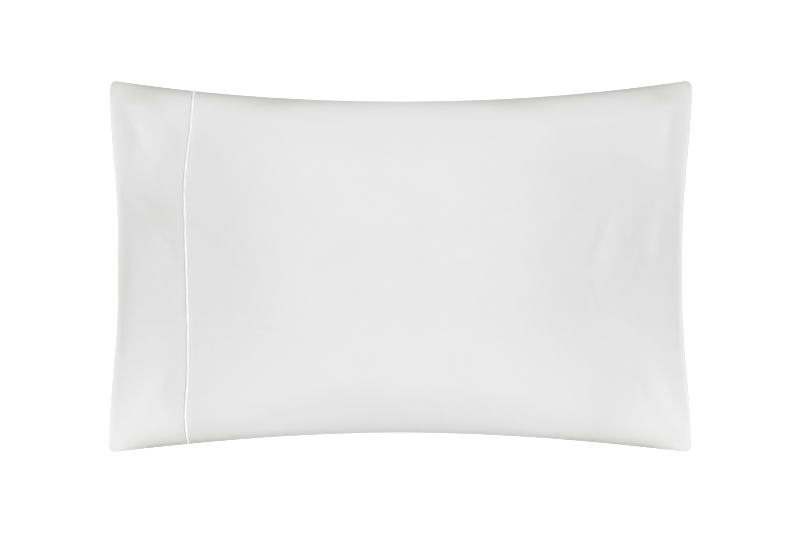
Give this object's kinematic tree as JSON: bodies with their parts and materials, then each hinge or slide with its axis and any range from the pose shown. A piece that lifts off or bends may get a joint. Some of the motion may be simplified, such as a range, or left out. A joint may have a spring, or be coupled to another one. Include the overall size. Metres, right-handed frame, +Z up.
{
  "type": "pillowcase",
  "caption": "Plain white cotton pillowcase with a cord piping along its cuff, filled out by its pillow and lying on its back.",
  "frame": {"origin": "middle of the outline seen from above, on the surface the case lies on", "axes": "+X along the long sides, from the open cuff end to the sewn end; +Y across the case; +Z up, out of the face with the best view of the piping"},
  "size_m": [0.7144, 0.4534, 0.1698],
  "materials": {
    "case_cloth": "smooth white cotton sateen, matt with a faint sheen",
    "piping_cloth": "bright white bias cloth drawn tight over a thin cord"
  },
  "bodies": {
    "root": {"filled_case": "case_cloth", "cuff_band": "case_cloth", "piping": "piping_cloth"}
  },
  "joints": []
}
